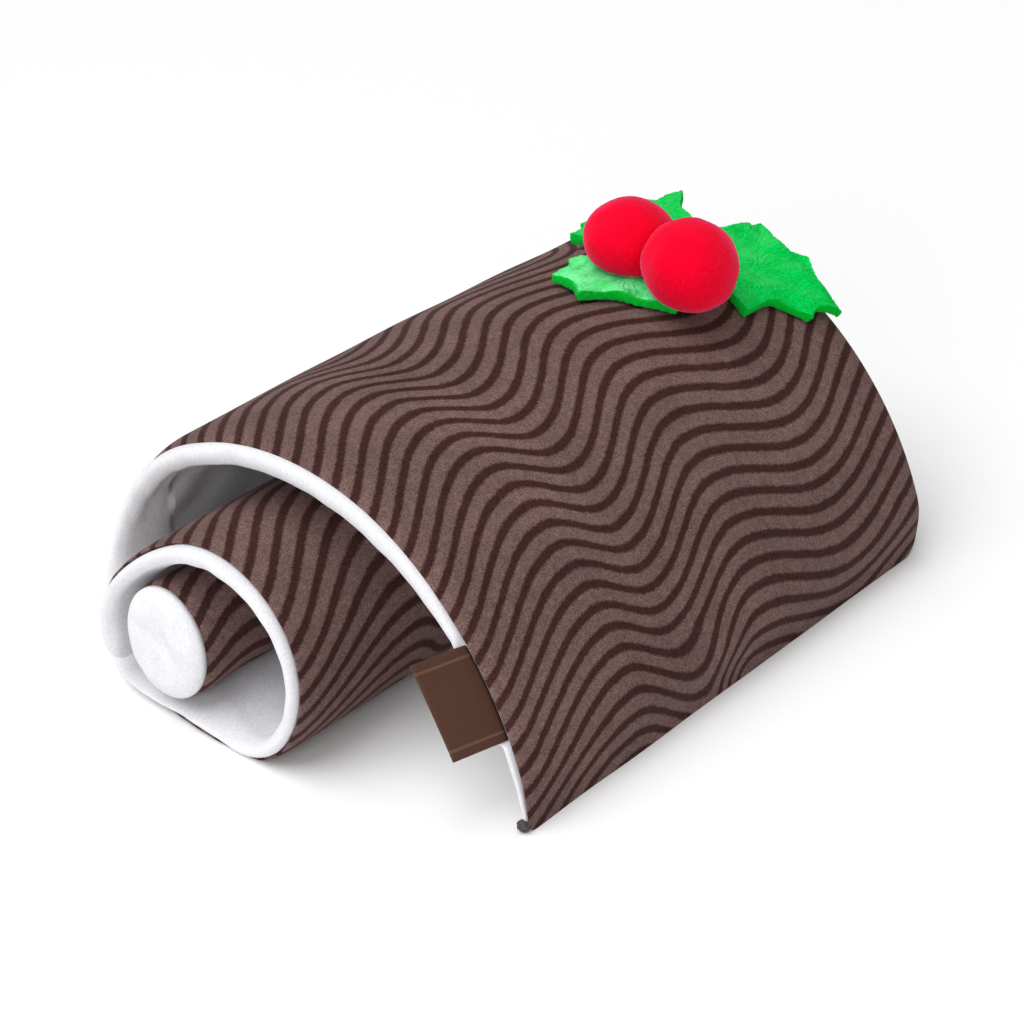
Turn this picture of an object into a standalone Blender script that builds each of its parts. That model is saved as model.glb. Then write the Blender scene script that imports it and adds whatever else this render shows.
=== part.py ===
"""A stuffed toy yule log: a padded brown and white sheet rolled up round a
soft core, with two berries and three holly leaves sewn on top.

The roll lies along X.  Its cross-section is one spiral line that starts on the
ground at the free flap (-Y side), climbs over the crest, comes down the +Y
side, runs flat along the ground and coils up again around the core.
A place on the sheet is (x, s, height): x along the roll, s along the spiral,
height above the sheet's brown outer face.  Lengths are in metres.
"""
import math

import bmesh
import bpy
from mathutils import Vector

MM = 0.001
GAP = 0.3 * MM                    # clearance kept between touching pieces

# --- the roll -----------------------------------------------------------------
ROLL_LENGTH = 210 * MM            # width of the sheet, along the roll
START_HEADING = 81.4              # degrees above +Y at the flap's free edge
# (length in mm, turn in degrees): a chain of tangent arcs, outside face
SPIRAL = (
    (82.0, -41.0),                # flap, rising from the ground
    (103.0, -66.5),               # shoulder and crest
    (33.0, -32.5),                # over the back
    (49.0, -51.0),                # down the back
    (24.5, -70.4),                # tight turn at the ground
    (46.0, 0.0),                  # flat underside that the roll rests on
    (43.0, -76.5),                # up again, in front of the core
    (79.5, -129.0),               # over the core
    (36.0, -25.0),                # down behind the core
    (21.0, -45.0),
    (13.0, -35.0),                # tucked in at the core's foot
)
ARC_STEP = 8.0                    # degrees of turn in one facet, at most
LENGTH_STEP = 13 * MM             # length of one facet, at most

COVER_THICKNESS = 2.0 * MM        # brown plush
SHEET_THICKNESS = 8.5 * MM        # plush, filling and white lining together
FLAP_THICKNESS = 6.5 * MM         # the same at the flap's free edge
FLAP_TAPER = 90 * MM              # how far up the flap the thinning reaches

# The inner coils lie nearer the viewer's end than the outer wrap.
COIL_SHIFT = 25 * MM
SHIFT_START = 218 * MM
SHIFT_END = 330 * MM

# Filling lifts the brown face between the two sewn rims.
PUFF = 2.5 * MM
BELLY = 1.3 * MM
FLARE = 3.5 * MM                  # the far end of the flap opens wider
RIM_ROUNDING = 9 * MM
FLAT_START = 215 * MM             # from here on the sheet is pressed flat
FLAT_FADE = 50 * MM
RIM_STATIONS = (0.0, 0.25, 1.0)   # fractions of RIM_ROUNDING, from each rim
MIDDLE_STATIONS = 3

# --- the core -----------------------------------------------------------------
CORE_Y = 122 * MM
CORE_Z = 28.4 * MM
CORE_HALF_WIDTH = 17.0 * MM
CORE_HALF_HEIGHT = 19.3 * MM
CORE_SIDES = 32
CORE_NEAR = -24 * MM
CORE_FAR = ROLL_LENGTH - 29 * MM
CORE_RIM = 2.5 * MM               # rounding of the core's edge
DISC_DOME = 5.0 * MM
DISC_DIMPLE = 1.2 * MM

# --- toppings: (x, s, height) on the sheet --------------------------------------
BERRY_SIDES = 24
BERRY_LEFT = (159.9 * MM, 139.2 * MM, 15.0 * MM)
BERRY_LEFT_RADIUS = 14.6 * MM
BERRY_RIGHT = (157.5 * MM, 117.1 * MM, 17.5 * MM)
BERRY_RIGHT_RADIUS = 16.0 * MM

LEAF_THICKNESS = 3.5 * MM
LEAF_RINGS = (0.35, 0.7, 1.0)
SCALLOP_POINTS = 3                # points of one hollow between two tips
# (x, s, lift of the leaf's underside, hollow to the next tip), all in mm;
# the first row is the middle of the leaf
LEAF_FRONT = (
    (152, 134, 0.6, 0),
    (151, 155, 1.8, 2.6), (137.5, 151.5, 1.4, 2.2), (132, 137.5, 1.0, 2.2),
    (145, 123.5, 0.6, 0.3), (152.5, 114, 0.7, 1.6), (168, 113, 0.3, 1.0),
    (172, 132, 0.3, 1.0), (166, 151, 0.6, 1.6),
)
LEAF_RIGHT = (
    (192, 111, 1.4, 0),
    (182, 133, 0.8, 0.5), (197, 133, 3.4, 1.2), (213, 124, 6.5, 3.0), (213, 105.5, 5.8, 1.2),
    (210, 87, 2.2, 2.4), (197, 91, 0.4, 4.4), (175.5, 103, 0.4, 1.0), (176.5, 117, 0.3, 0.5),
)
LEAF_BACK = (
    (192, 156, 1.4, 0),
    (176, 138, 0.3, 0.5), (198, 138.5, 3.4, 3.4), (219, 157.5, 7.0, 3.4),
    (206, 173, 4.0, 3.0), (188, 178, 2.2, 3.0), (172.5, 170.5, 2.0, 2.2), (173, 154, 0.6, 0.6),
)

# --- side label -----------------------------------------------------------------
LABEL_LOW = 30 * MM               # along the spiral
LABEL_HIGH = 61.5 * MM
LABEL_REACH = 17 * MM             # how far it stands out of the rim
LABEL_LEAN = 4.4 * MM             # how far its free edge leans inwards
LABEL_THICKNESS = 0.8 * MM

BROWN = (0.115, 0.075, 0.065)
WHITE = (0.80, 0.80, 0.82)
RED = (0.75, 0.004, 0.02)
GREEN = (0.02, 0.42, 0.06)
LABEL_BROWN = (0.055, 0.020, 0.012)


def clear_scene():
    for old in list(bpy.data.objects):
        bpy.data.objects.remove(old, do_unlink=True)


def smooth_step(value):
    value = min(max(value, 0.0), 1.0)
    return value * value * (3.0 - 2.0 * value)


def arc_end(y, z, heading, length, turn):
    """Point and heading after one arc; the turn is in radians."""
    if abs(turn) < 1e-9:
        return y + length * math.cos(heading), z + length * math.sin(heading), heading
    radius = length / turn
    end = heading + turn
    end_y = y + radius * (math.sin(end) - math.sin(heading))
    end_z = z - radius * (math.cos(end) - math.cos(heading))
    return end_y, end_z, end


def spiral_point(s):
    """(y, z, heading) of the outer line at the length s from the flap's edge."""
    y, z, heading = 0.0, 0.0, math.radians(START_HEADING)
    left = s
    for length, turn in SPIRAL:
        length *= MM
        part = min(left, length)
        y, z, heading = arc_end(y, z, heading, part, math.radians(turn) * part / length)
        left -= part
        if left <= 0.0:
            break
    return y, z, heading


def spiral_stations():
    """Lengths along the spiral at which the sheet has a row of points."""
    stations = [0.0]
    for length, turn in SPIRAL:
        length *= MM
        parts = max(math.ceil(abs(turn) / ARC_STEP), math.ceil(length / LENGTH_STEP))
        start = stations[-1]
        stations.extend(start + length * (i + 1) / parts for i in range(parts))
    return stations


def cross_stations():
    """Fractions of the sheet's width at which it has a row of points."""
    near = [RIM_ROUNDING * f / ROLL_LENGTH for f in RIM_STATIONS]
    far = [1.0 - f for f in reversed(near)]
    span = far[0] - near[-1]
    middle = [near[-1] + span * (i + 1) / (MIDDLE_STATIONS + 1) for i in range(MIDDLE_STATIONS)]
    return near + middle + far


def coil_shift(s):
    return COIL_SHIFT * smooth_step((s - SHIFT_START) / (SHIFT_END - SHIFT_START))


def outward(x, s):
    """How far the filling pushes the brown face out of the spiral line."""
    along = min(max(x / ROLL_LENGTH, 0.0), 1.0)
    rim = min(min(x, ROLL_LENGTH - x) / RIM_ROUNDING, 1.0)
    rounding = math.sqrt(1.0 - (1.0 - max(rim, 0.0)) ** 2)
    free = smooth_step(s / (20 * MM)) * (1.0 - smooth_step((s - FLAT_START) / FLAT_FADE))
    flare = FLARE * along * (1.0 - smooth_step((s - 90 * MM) / (100 * MM)))
    return free * (PUFF * rounding + BELLY * math.sin(math.pi * along) + flare)


def sheet_place(x, s, height):
    """World place of a point at the given height above the brown face."""
    y, z, heading = spiral_point(s)
    offset = height + outward(x, s)
    return Vector((x, y - math.sin(heading) * offset, z + math.cos(heading) * offset))


def sheet_normal(s):
    heading = spiral_point(s)[2]
    return Vector((0.0, -math.sin(heading), math.cos(heading)))


def sheet_depth(s):
    return FLAP_THICKNESS + (SHEET_THICKNESS - FLAP_THICKNESS) * smooth_step(s / FLAP_TAPER)


def make_material(name, colour, roughness):
    material = bpy.data.materials.new(name)
    material.use_nodes = True
    shader = material.node_tree.nodes["Principled BSDF"]
    shader.inputs["Base Color"].default_value = (*colour, 1.0)
    shader.inputs["Roughness"].default_value = roughness
    shader.inputs["Metallic"].default_value = 0.0
    return material


def make_object(name, shape, material):
    """Turn a bmesh into a named, smooth-shaded object."""
    bmesh.ops.recalc_face_normals(shape, faces=shape.faces)
    mesh = bpy.data.meshes.new(name)
    shape.to_mesh(mesh)
    shape.free()
    mesh.shade_smooth()
    mesh.set_sharp_from_angle(angle=math.radians(50))
    mesh.materials.append(material)
    obj = bpy.data.objects.new(name, mesh)
    bpy.context.collection.objects.link(obj)
    return obj


def add_strip(shape, row, following):
    """Triangles between two rows, always split along the same diagonal."""
    for i in range(len(row) - 1):
        shape.faces.new((row[i], row[i + 1], following[i + 1]))
        shape.faces.new((row[i], following[i + 1], following[i]))


def make_layer(name, material, top, bottom):
    """One layer of the rolled sheet; top(s) and bottom(s) are depths in it."""
    shape = bmesh.new()
    skins = []
    for depth in (top, bottom):
        rows = []
        for s in spiral_stations():
            row = []
            for f in cross_stations():
                width_place = f * ROLL_LENGTH
                place = sheet_place(width_place, s, -depth(s))
                place.x = width_place - coil_shift(s)
                place.z = max(place.z, 0.0)
                row.append(shape.verts.new(place))
            rows.append(row)
        for row, following in zip(rows, rows[1:]):
            add_strip(shape, row, following)
        skins.append(rows)
    upper, lower = skins
    for side in (0, -1):
        add_strip(shape, [row[side] for row in upper], [row[side] for row in lower])
        add_strip(shape, upper[side], lower[side])
    return make_object(name, shape, material)


def make_cover(material):
    return make_layer("cover", material, lambda s: 0.0, lambda s: COVER_THICKNESS)


def make_lining(material):
    return make_layer("lining", material, lambda s: COVER_THICKNESS + GAP, sheet_depth)


def ellipse_ring(shape, x, scale):
    """A ring of points of the core's outline, scaled, in the plane at x."""
    ring = []
    for i in range(CORE_SIDES):
        angle = 2.0 * math.pi * i / CORE_SIDES
        ring.append(shape.verts.new((
            x,
            CORE_Y + CORE_HALF_WIDTH * scale * math.cos(angle),
            CORE_Z + CORE_HALF_HEIGHT * scale * math.sin(angle),
        )))
    return ring


def loft(shape, rings):
    """Join rings with quads and close both ends."""
    for ring, following in zip(rings, rings[1:]):
        for i in range(len(ring)):
            j = (i + 1) % len(ring)
            shape.faces.new((ring[i], ring[j], following[j], following[i]))
    shape.faces.new(rings[0])
    shape.faces.new(rings[-1])


def make_core(material):
    shape = bmesh.new()
    rim_scale = 1.0 - CORE_RIM / CORE_HALF_WIDTH
    rings = [
        ellipse_ring(shape, CORE_NEAR, rim_scale),
        ellipse_ring(shape, CORE_NEAR + CORE_RIM, 1.0),
        ellipse_ring(shape, CORE_FAR - CORE_RIM, 1.0),
        ellipse_ring(shape, CORE_FAR, rim_scale),
    ]
    loft(shape, rings)
    return make_object("core", shape, material)


def make_core_end(name, material, face_x, direction):
    """A domed white disc with a shallow dimple; direction is -1 or +1 along X."""
    shape = bmesh.new()
    rim_scale = 1.0 - CORE_RIM / CORE_HALF_WIDTH
    base = face_x + direction * GAP
    rings = [ellipse_ring(shape, base, rim_scale)]
    for step in (15, 35, 60, 80):
        angle = math.radians(step)
        dome = DISC_DOME * math.sin(angle)
        rings.append(ellipse_ring(shape, base + direction * dome, rim_scale * math.cos(angle * 0.8)))
    dimple = DISC_DOME - DISC_DIMPLE
    rings.append(ellipse_ring(shape, base + direction * dimple, 0.12))
    loft(shape, rings)
    return make_object(name, shape, material)


def press_flat(shape, point, normal):
    """Push everything that lies beyond a plane back onto it."""
    for vert in shape.verts:
        beyond = (vert.co - point).dot(normal)
        if beyond > 0.0:
            vert.co -= normal * beyond


def make_berry(name, material, place, radius, neighbour):
    """A stuffed ball, pressed flat where it meets the leaves and its neighbour."""
    x, s, height = place
    centre = sheet_place(x, s, height)
    up = sheet_normal(s)
    shape = bmesh.new()
    bmesh.ops.create_uvsphere(shape, u_segments=BERRY_SIDES, v_segments=BERRY_SIDES // 2, radius=radius)
    bmesh.ops.rotate(shape, verts=shape.verts, matrix=Vector((0, 0, 1)).rotation_difference(up).to_matrix())
    bmesh.ops.translate(shape, verts=shape.verts, vec=centre)
    rest_height = LEAF_THICKNESS + 4 * GAP
    press_flat(shape, centre - up * (height - rest_height), -up)
    other_centre, other_radius = neighbour
    to_other = other_centre - centre
    share = radius / (radius + other_radius)
    direction = to_other.normalized()
    press_flat(shape, centre + to_other * share - direction * GAP / 2, direction)
    return make_object(name, shape, material)


def make_berries(material):
    left_centre = sheet_place(*BERRY_LEFT)
    right_centre = sheet_place(*BERRY_RIGHT)
    beside_left = (right_centre, BERRY_RIGHT_RADIUS)
    beside_right = (left_centre, BERRY_LEFT_RADIUS)
    return [
        make_berry("berry_left", material, BERRY_LEFT, BERRY_LEFT_RADIUS, beside_left),
        make_berry("berry_right", material, BERRY_RIGHT, BERRY_RIGHT_RADIUS, beside_right),
    ]


def leaf_outline(tips, middle):
    """Points (x, s, lift) round a holly leaf: tips with hollows between them."""
    outline = []
    for i, (x, s, lift, hollow) in enumerate(tips):
        next_x, next_s, next_lift, _ = tips[(i + 1) % len(tips)]
        for step in range(SCALLOP_POINTS + 1):
            t = step / (SCALLOP_POINTS + 1)
            px = x + (next_x - x) * t
            ps = s + (next_s - s) * t
            inward = Vector((middle[0] - px, middle[1] - ps)).normalized()
            depth = hollow * 4.0 * t * (1.0 - t)
            outline.append((px + inward.x * depth, ps + inward.y * depth, lift + (next_lift - lift) * t))
    return outline


def make_leaf(name, material, rows):
    """A thick felt leaf that lies on the sheet, its tips lifted."""
    middle, tips = rows[0], rows[1:]
    outline = leaf_outline(tips, middle)
    shape = bmesh.new()
    layers = []
    for base in (GAP, GAP + LEAF_THICKNESS):
        centre = sheet_place(middle[0] * MM, middle[1] * MM, base + middle[2] * MM)
        rings = []
        for share in LEAF_RINGS:
            ring = []
            for x, s, lift in outline:
                px = (middle[0] + (x - middle[0]) * share) * MM
                ps = (middle[1] + (s - middle[1]) * share) * MM
                rise = (middle[2] + (lift - middle[2]) * share * share) * MM
                ring.append(shape.verts.new(sheet_place(px, ps, base + rise)))
            rings.append(ring)
        layers.append((shape.verts.new(centre), rings))
    for centre, rings in layers:
        count = len(rings[0])
        for i in range(count):
            j = (i + 1) % count
            shape.faces.new((centre, rings[0][i], rings[0][j]))
            for ring, outer in zip(rings, rings[1:]):
                shape.faces.new((ring[i], outer[i], outer[j], ring[j]))
    low = layers[0][1][-1]
    high = layers[1][1][-1]
    for i in range(len(low)):
        j = (i + 1) % len(low)
        shape.faces.new((low[i], low[j], high[j], high[i]))
    return make_object(name, shape, material)


def make_label(material):
    """A folded ribbon that comes out of the seam between cover and lining."""
    steps = 4
    top = COVER_THICKNESS - LABEL_THICKNESS / 2
    bottom = COVER_THICKNESS + LABEL_THICKNESS / 2
    shape = bmesh.new()
    rows = []
    for i in range(steps + 1):
        s = LABEL_LOW + (LABEL_HIGH - LABEL_LOW) * i / steps
        row = []
        for reach, lean, depth in (
            (GAP, 0.0, top), (LABEL_REACH, LABEL_LEAN, top),
            (LABEL_REACH, LABEL_LEAN, bottom), (GAP, 0.0, bottom),
        ):
            place = sheet_place(0.0, s, -depth)
            row.append(shape.verts.new((-reach, place.y + lean, place.z)))
        rows.append(row)
    loft(shape, rows)
    return make_object("label", shape, material)


def stand_on_origin(objects):
    """Move every point so that the origin is below the middle of the whole."""
    places = [vert.co for obj in objects for vert in obj.data.vertices]
    low = Vector(min(place[axis] for place in places) for axis in range(3))
    high = Vector(max(place[axis] for place in places) for axis in range(3))
    shift = Vector(((low.x + high.x) / 2, (low.y + high.y) / 2, low.z))
    for obj in objects:
        for vert in obj.data.vertices:
            vert.co -= shift


def main():
    clear_scene()
    brown_plush = make_material("brown_plush", BROWN, 0.95)
    white_plush = make_material("white_plush", WHITE, 0.9)
    red_velvet = make_material("red_velvet", RED, 0.8)
    green_felt = make_material("green_felt", GREEN, 0.9)
    ribbon = make_material("label_ribbon", LABEL_BROWN, 0.6)
    objects = [
        make_cover(brown_plush),
        make_lining(white_plush),
        make_core(brown_plush),
        make_core_end("core_end_near", white_plush, CORE_NEAR, -1),
        make_core_end("core_end_far", white_plush, CORE_FAR, 1),
        make_leaf("leaf_front", green_felt, LEAF_FRONT),
        make_leaf("leaf_right", green_felt, LEAF_RIGHT),
        make_leaf("leaf_back", green_felt, LEAF_BACK),
        make_label(ribbon),
    ]
    objects.extend(make_berries(red_velvet))
    stand_on_origin(objects)


main()
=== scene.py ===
# %% [markdown]
# # A stuffed toy yule log
#
# The real thing is a soft toy: one padded sheet, brown plush outside and white
# plush inside, rolled up loosely round a stuffed core.  Two red velvet berries
# and three green felt leaves are sewn on top, and a ribbon label is sewn into
# the flap's edge.  We build each piece over the measured solid of the same name.

# %% Load the measured frame
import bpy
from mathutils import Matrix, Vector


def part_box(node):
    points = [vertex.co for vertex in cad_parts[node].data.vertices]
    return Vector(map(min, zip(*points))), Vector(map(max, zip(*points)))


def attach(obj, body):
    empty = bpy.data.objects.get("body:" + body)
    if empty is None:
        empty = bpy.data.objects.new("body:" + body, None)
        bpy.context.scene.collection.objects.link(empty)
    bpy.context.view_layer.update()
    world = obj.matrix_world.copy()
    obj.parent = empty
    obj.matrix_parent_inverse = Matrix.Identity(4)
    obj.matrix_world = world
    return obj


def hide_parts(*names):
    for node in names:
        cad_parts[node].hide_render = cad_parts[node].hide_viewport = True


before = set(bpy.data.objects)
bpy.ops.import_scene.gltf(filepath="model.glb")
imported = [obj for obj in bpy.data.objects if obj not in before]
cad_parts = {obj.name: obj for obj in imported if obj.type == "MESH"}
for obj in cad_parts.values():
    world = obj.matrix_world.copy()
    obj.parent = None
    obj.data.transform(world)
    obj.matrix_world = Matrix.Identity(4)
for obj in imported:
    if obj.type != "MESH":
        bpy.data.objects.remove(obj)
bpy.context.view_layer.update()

# %% The modules and the unit
import math

import bmesh
import bpy
import numpy as np
from mathutils import Vector, noise

MM = 0.001
BODY = "root"            # the toy has no joints, so everything rides on one body

# %% [markdown]
# ## Camera, light and floor
#
# A soft toy has no sharp highlights, so its shape only reads through slow
# changes of light.  One wide lamp above, a smaller one before the near end and a
# pale surrounding do that.  A long lens from a little way off keeps the roll's
# two ends nearly the same size.
# We set the picture up first, because every later choice is judged in it.

# %% Camera
CAMERA_PLACE = Vector((-581.8, -482.6, 472.2)) * MM
CAMERA_HEADING = math.radians(39.8)     # from +X towards +Y
CAMERA_DIP = math.radians(30.0)         # how far it looks down
CAMERA_LENS = 93.5                      # mm, on a 36 mm wide sensor

camera_data = bpy.data.cameras.new("camera")
camera_data.lens = CAMERA_LENS
camera_data.sensor_width = 36.0
camera = bpy.data.objects.new("camera", camera_data)
bpy.context.collection.objects.link(camera)
camera.location = CAMERA_PLACE
look = Vector((
    math.cos(CAMERA_HEADING) * math.cos(CAMERA_DIP),
    math.sin(CAMERA_HEADING) * math.cos(CAMERA_DIP),
    -math.sin(CAMERA_DIP),
))
camera.rotation_euler = look.to_track_quat("-Z", "Y").to_euler()
bpy.context.scene.camera = camera
bpy.context.scene.view_settings.view_transform = "Standard"
print("camera looks along", [round(v, 2) for v in look])


# %% Lights and world
SUN_STRENGTH = 2.25
SUN_FROM = Vector((-0.45, 0.22, 1.0))        # above, and a little to the near end
SUN_SOFTNESS = math.radians(55.0)
FRONT_ENERGY = 2.3
FRONT_SIZE = 0.5
FRONT_PLACE = Vector((-0.78, -0.30, 0.34))   # lights the rims and the inside of the near end
FRONT_TARGET = Vector((-0.10, 0.02, 0.04))
WORLD_STRENGTH = 0.40

sun_data = bpy.data.lights.new("overhead", "SUN")
sun_data.energy = SUN_STRENGTH
sun_data.angle = SUN_SOFTNESS
sun = bpy.data.objects.new("overhead", sun_data)
bpy.context.collection.objects.link(sun)
sun.rotation_euler = (-SUN_FROM).to_track_quat("-Z", "Y").to_euler()

front_data = bpy.data.lights.new("front", "AREA")
front_data.shape = "DISK"
front_data.size = FRONT_SIZE
front_data.energy = FRONT_ENERGY
front = bpy.data.objects.new("front", front_data)
bpy.context.collection.objects.link(front)
front.location = FRONT_PLACE
front.rotation_euler = (FRONT_TARGET - FRONT_PLACE).to_track_quat("-Z", "Y").to_euler()

world = bpy.data.worlds.new("studio")
world.use_nodes = True
sky = world.node_tree.nodes["Background"]
sky.inputs["Color"].default_value = (1.0, 1.0, 1.0, 1.0)
sky.inputs["Strength"].default_value = WORLD_STRENGTH
bpy.context.scene.world = world
print("lamps:", sun.name, front.name)

# %% Floor
FLOOR_HALF = 3.0
FLOOR_WHITE = (0.94, 0.94, 0.94, 1.0)
FLOOR_ROUGHNESS = 0.9
floor_mesh = bpy.data.meshes.new("floor")
floor_mesh.from_pydata(
    [(-FLOOR_HALF, -FLOOR_HALF, 0), (FLOOR_HALF, -FLOOR_HALF, 0),
     (FLOOR_HALF, FLOOR_HALF, 0), (-FLOOR_HALF, FLOOR_HALF, 0)], [], [(0, 1, 2, 3)])
floor = bpy.data.objects.new("floor", floor_mesh)
bpy.context.collection.objects.link(floor)
floor_paint = bpy.data.materials.new("floor_paint")
floor_paint.use_nodes = True
floor_shader = floor_paint.node_tree.nodes["Principled BSDF"]
floor_shader.inputs["Base Color"].default_value = FLOOR_WHITE
floor_shader.inputs["Roughness"].default_value = FLOOR_ROUGHNESS
floor_mesh.materials.append(floor_paint)
print("floor, m across:", 2 * FLOOR_HALF)

# %% [markdown]
# ## The shape of the roll
#
# Seen from its end, the sheet is one spiral line.  It could be drawn as a
# Bezier curve, but a chain of arcs is easier to think about: each arc has a
# length and a turn, as in rolling up a strip of dough.  The measured solids use
# the same chain, so a place on the sheet can be named by x (along the roll),
# s (along the spiral) and height (above the brown face).

# %% The spiral line
START_HEADING = 81.4
SPIRAL = (               # (length in mm, turn in degrees) of the brown face
    (82.0, -41.0),       # flap, rising from the ground
    (103.0, -66.5),      # shoulder and crest
    (33.0, -32.5),       # over the back
    (49.0, -51.0),       # down the back
    (24.5, -70.4),       # tight turn at the ground
    (46.0, 0.0),         # flat underside
    (43.0, -76.5),       # up in front of the core
    (79.5, -129.0),      # over the core
    (36.0, -25.0),       # down behind the core
    (21.0, -45.0),
    (13.0, -35.0),       # tucked in at the core's foot
)
TABLE_STEP = 0.25 * MM


def spiral_table():
    """Lengths s with the line's heading, y and z, close enough to read off by interpolation."""
    ends = np.cumsum([0.0] + [length * MM for length, _ in SPIRAL])
    s = np.arange(0.0, ends[-1] + TABLE_STEP / 2, TABLE_STEP)
    bend = np.zeros_like(s)
    for (length, turn), start in zip(SPIRAL, ends):
        bend[s >= start] = math.radians(turn) / (length * MM)
    heading = math.radians(START_HEADING) + np.concatenate([[0], np.cumsum(bend[:-1]) * TABLE_STEP])
    middle = heading[:-1] + bend[:-1] * TABLE_STEP / 2
    y = np.concatenate([[0], np.cumsum(np.cos(middle)) * TABLE_STEP])
    z = np.concatenate([[0], np.cumsum(np.sin(middle)) * TABLE_STEP])
    return s, heading, y, z


TABLE_S, TABLE_HEADING, TABLE_Y, TABLE_Z = spiral_table()
SHEET_END = TABLE_S[-1]
print("length of the rolled sheet, mm:", round(SHEET_END / MM))

# %% Where the roll stands in the frame
COIL_SHIFT = 25 * MM         # the inner coils stand out at the near end
SHIFT_START = 218 * MM
SHIFT_END = 330 * MM
cover_low, cover_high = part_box("cover")
NEAR_X = cover_low.x + COIL_SHIFT
ROLL_LENGTH = cover_high.x - NEAR_X
core_low, core_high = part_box("core")
CORE_MIDDLE = (core_low + core_high) / 2
FLAP_FROM_CORE = 122 * MM
FLAP_Y = CORE_MIDDLE.y - FLAP_FROM_CORE      # the flap's free edge, on the ground
print("roll length, mm:", round(ROLL_LENGTH / MM, 1), " flap edge at y, mm:", round(FLAP_Y / MM, 1))

# %% [markdown]
# ## Filling
#
# Between its sewn rims a padded sheet swells.  A pressure simulation could find
# that swelling, but the measured shape has to stay where it is, so we add the
# swelling as a formula: nothing at the rims, most of it within a finger's width.

# %% Swelling of the sheet
PUFF = 2.5 * MM              # of the whole width between the rims
BELLY = 1.3 * MM             # more of it half way along
FLARE = 3.5 * MM             # the flap opens wider towards the far end
FLARE_START = 90 * MM
FLARE_FADE = 100 * MM
RIM_ROUNDING = 9 * MM
EDGE_FADE = 20 * MM          # the swelling starts this softly from the free edge
FLAT_START = 215 * MM        # no more of it where the roll presses on the ground
FLAT_FADE = 50 * MM
COIL_PUFF = 1.2 * MM         # the inner coil swells a little too
COIL_START = 345 * MM
SAG = 3.0 * MM               # the coil's lower front hangs down over its own foot
SAG_MIDDLE = 350 * MM
SAG_WIDTH = 17 * MM


def smooth_step(value):
    """0 up to 0, 1 from 1 on, and an S-shaped rise between."""
    value = np.clip(value, 0.0, 1.0)
    return value * value * (3.0 - 2.0 * value)


def rim_rise(x):
    """0 at either rim, 1 in the middle, rising like a quarter circle."""
    inside = np.clip(np.minimum(x, ROLL_LENGTH - x) / RIM_ROUNDING, 0.0, 1.0)
    return np.sqrt(1.0 - (1.0 - inside) ** 2)


def outward(x, s):
    """How far the filling pushes the brown face out of the spiral line."""
    along = np.clip(x / ROLL_LENGTH, 0.0, 1.0)
    free = smooth_step(s / EDGE_FADE) * (1.0 - smooth_step((s - FLAT_START) / FLAT_FADE))
    flare = FLARE * along * (1.0 - smooth_step((s - FLARE_START) / FLARE_FADE))
    outer = free * (PUFF * rim_rise(x) + BELLY * np.sin(math.pi * along) + flare)
    coil = COIL_PUFF * rim_rise(x) * smooth_step((s - COIL_START) / EDGE_FADE)
    return outer + coil + SAG * np.exp(-((s - SAG_MIDDLE) / SAG_WIDTH) ** 2)


def sheet_place(x, s, height):
    """World places on the sheet; all three may be arrays of one shape."""
    x, s, height = np.broadcast_arrays(x, s, height)
    heading = np.interp(s, TABLE_S, TABLE_HEADING)
    offset = height + outward(x, s)
    shift = COIL_SHIFT * smooth_step((s - SHIFT_START) / (SHIFT_END - SHIFT_START))
    return np.stack([
        NEAR_X + x - shift,
        FLAP_Y + np.interp(s, TABLE_S, TABLE_Y) - np.sin(heading) * offset,
        np.interp(s, TABLE_S, TABLE_Z) + np.cos(heading) * offset,
    ], axis=-1)


crest = sheet_place(ROLL_LENGTH / 2, 150 * MM, 0.0)
print("crest half way along, mm:", [round(v / MM, 1) for v in crest])


# %% Gentle unevenness for anything stuffed by hand
NOISE_WAVES = 7


def soft_noise(a, b, size, seed):
    """Smooth lumps of about the given size, mostly between -1 and 1, over two coordinates."""
    rng = np.random.default_rng(seed)
    total = np.zeros(np.broadcast(a, b).shape)
    for _ in range(NOISE_WAVES):
        angle = rng.uniform(0, 2 * math.pi)
        phase = rng.uniform(0, 2 * math.pi)
        pace = 2 * math.pi * rng.uniform(0.6, 1.5) / size
        total = total + np.sin((a * math.cos(angle) + b * math.sin(angle)) * pace + phase)
    return total / math.sqrt(NOISE_WAVES)


# %% A mesh from a grid of places
def grid_object(name, places, material, uv=None):
    """A closed skin of quads over rows of rings, shape (rows, columns, 3), with a cap at each end."""
    rows, columns = places.shape[:2]
    index = np.arange(rows * columns).reshape(rows, columns)
    beside = np.roll(index, -1, axis=1)      # joins the last column to the first
    quads = np.stack([index[:-1], beside[:-1], beside[1:], index[1:]], axis=-1).reshape(-1, 4)
    faces = quads.tolist()
    faces.append(index[0][::-1].tolist())
    faces.append(index[-1].tolist())
    mesh = bpy.data.meshes.new(name)
    mesh.from_pydata(places.reshape(-1, 3).tolist(), [], faces)
    if uv is not None:
        layer = mesh.uv_layers.new(name="print")
        corners = np.empty(len(mesh.loops), int)
        mesh.loops.foreach_get("vertex_index", corners)
        layer.data.foreach_set("uv", uv.reshape(-1, 2)[corners].ravel())
    mesh.shade_smooth()
    mesh.materials.append(material)
    obj = bpy.data.objects.new(name, mesh)
    bpy.context.collection.objects.link(obj)
    face_outwards(mesh)
    print(name, "faces:", len(mesh.polygons))
    return obj


def face_outwards(mesh):
    """Turns every face's front to the outside."""
    shape = bmesh.new()
    shape.from_mesh(mesh)
    bmesh.ops.recalc_face_normals(shape, faces=shape.faces)
    shape.to_mesh(mesh)
    shape.free()


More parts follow.
